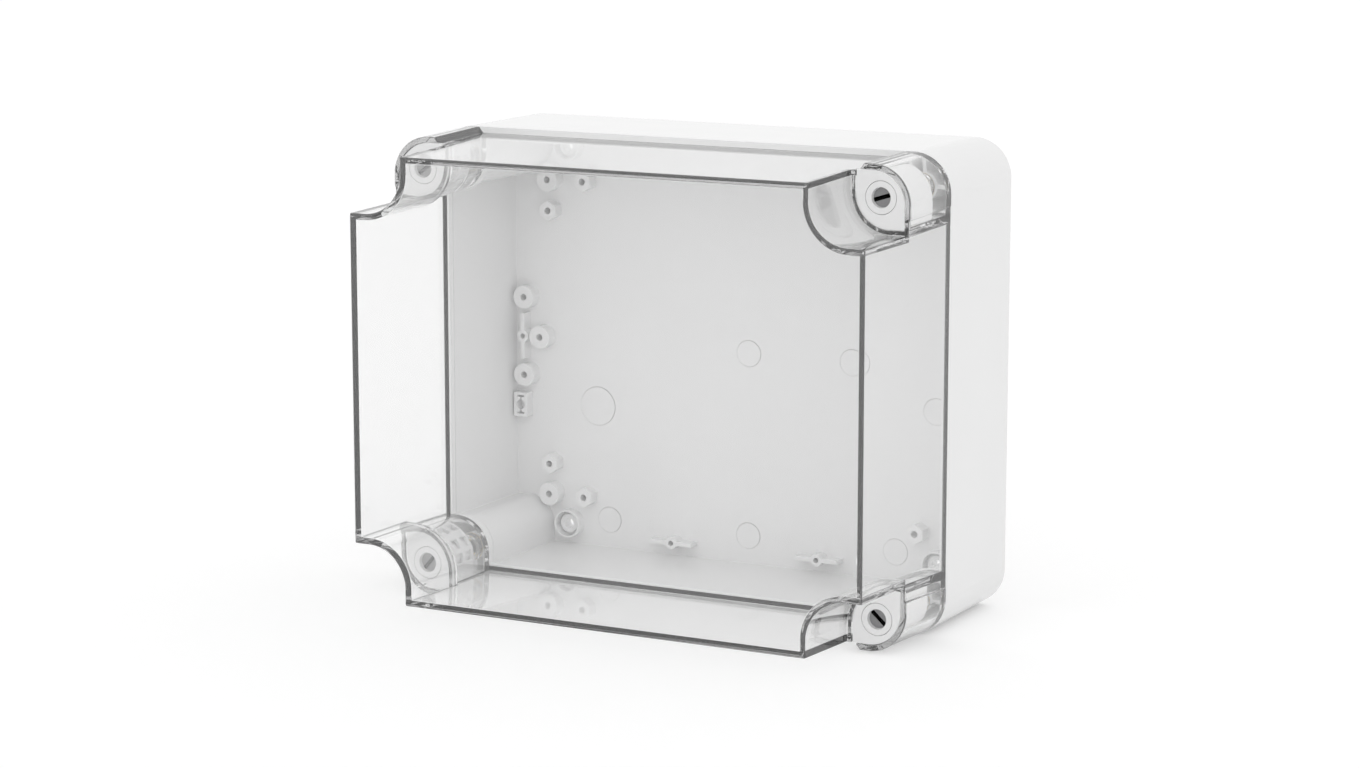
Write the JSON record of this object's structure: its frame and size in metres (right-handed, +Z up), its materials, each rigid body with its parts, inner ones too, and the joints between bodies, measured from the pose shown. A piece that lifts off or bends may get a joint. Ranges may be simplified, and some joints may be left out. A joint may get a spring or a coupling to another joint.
{
  "type": "sealed enclosure",
  "caption": "Deep sealed wall box with a clear plastic lid, a rim seal, and captive slotted screws in white corner inserts.",
  "frame": {"origin": "centre of the flat back face, on the wall", "axes": "+X right, +Z up and +Y into the wall, as the box hangs with its lid facing -Y"},
  "size_m": [0.291, 0.168, 0.241],
  "materials": {
    "base_plastic": "light grey moulded plastic, fine satin",
    "clear_plastic": "polished clear moulded plastic",
    "seal_rubber": "dark grey foamed seal, matt",
    "insert_plastic": "near white moulded plastic, satin",
    "screw_plastic": "near white moulded plastic, satin",
    "spring_steel": "plated spring steel",
    "bush_brass": "turned brass"
  },
  "bodies": {
    "base": {"base_shell": "base_plastic", "rim_gasket": "seal_rubber", "thread_bush_top_left": "bush_brass", "thread_bush_top_right": "bush_brass", "thread_bush_bottom_left": "bush_brass", "thread_bush_bottom_right": "bush_brass"},
    "lid": {"lid_cover": "clear_plastic", "corner_insert_top_left": "insert_plastic", "corner_insert_top_right": "insert_plastic", "corner_insert_bottom_left": "insert_plastic", "corner_insert_bottom_right": "insert_plastic"},
    "retainer_top_left": {"screw_retainer_top_left": "spring_steel"},
    "screw_top_left": {"lid_screw_top_left": "screw_plastic"},
    "retainer_top_right": {"screw_retainer_top_right": "spring_steel"},
    "screw_top_right": {"lid_screw_top_right": "screw_plastic"},
    "retainer_bottom_left": {"screw_retainer_bottom_left": "spring_steel"},
    "screw_bottom_left": {"lid_screw_bottom_left": "screw_plastic"},
    "retainer_bottom_right": {"screw_retainer_bottom_right": "spring_steel"},
    "screw_bottom_right": {"lid_screw_bottom_right": "screw_plastic"}
  },
  "joints": [
    {"name": "lid_lift_off", "type": "slide", "parent": "base", "child": "lid", "axis": [0, -1, 0], "range_m": [0, 0.2]},
    {"name": "screw_rise_top_left", "type": "slide", "parent": "lid", "child": "retainer_top_left", "axis": [0, -1, 0], "range_m": [0, 0.005]},
    {"name": "screw_turn_top_left", "type": "hinge", "parent": "retainer_top_left", "child": "screw_top_left", "pos_m": [-0.1286, -0.1, 0.103], "axis": [0, -1, 0], "range_deg": [0, 1440]},
    {"name": "screw_rise_top_right", "type": "slide", "parent": "lid", "child": "retainer_top_right", "axis": [0, -1, 0], "range_m": [0, 0.005]},
    {"name": "screw_turn_top_right", "type": "hinge", "parent": "retainer_top_right", "child": "screw_top_right", "pos_m": [0.1286, -0.1, 0.103], "axis": [0, -1, 0], "range_deg": [0, 1440]},
    {"name": "screw_rise_bottom_left", "type": "slide", "parent": "lid", "child": "retainer_bottom_left", "axis": [0, -1, 0], "range_m": [0, 0.005]},
    {"name": "screw_turn_bottom_left", "type": "hinge", "parent": "retainer_bottom_left", "child": "screw_bottom_left", "pos_m": [-0.1286, -0.1, -0.103], "axis": [0, -1, 0], "range_deg": [0, 1440]},
    {"name": "screw_rise_bottom_right", "type": "slide", "parent": "lid", "child": "retainer_bottom_right", "axis": [0, -1, 0], "range_m": [0, 0.005]},
    {"name": "screw_turn_bottom_right", "type": "hinge", "parent": "retainer_bottom_right", "child": "screw_bottom_right", "pos_m": [0.1286, -0.1, -0.103], "axis": [0, -1, 0], "range_deg": [0, 1440]}
  ],
  "couplings": [
    {"joint": "screw_turn_top_left", "follows": "screw_rise_top_left", "rad_per_m": 5026.5},
    {"joint": "screw_turn_top_right", "follows": "screw_rise_top_right", "rad_per_m": 5026.5},
    {"joint": "screw_turn_bottom_left", "follows": "screw_rise_bottom_left", "rad_per_m": 5026.5},
    {"joint": "screw_turn_bottom_right", "follows": "screw_rise_bottom_right", "rad_per_m": 5026.5}
  ]
}
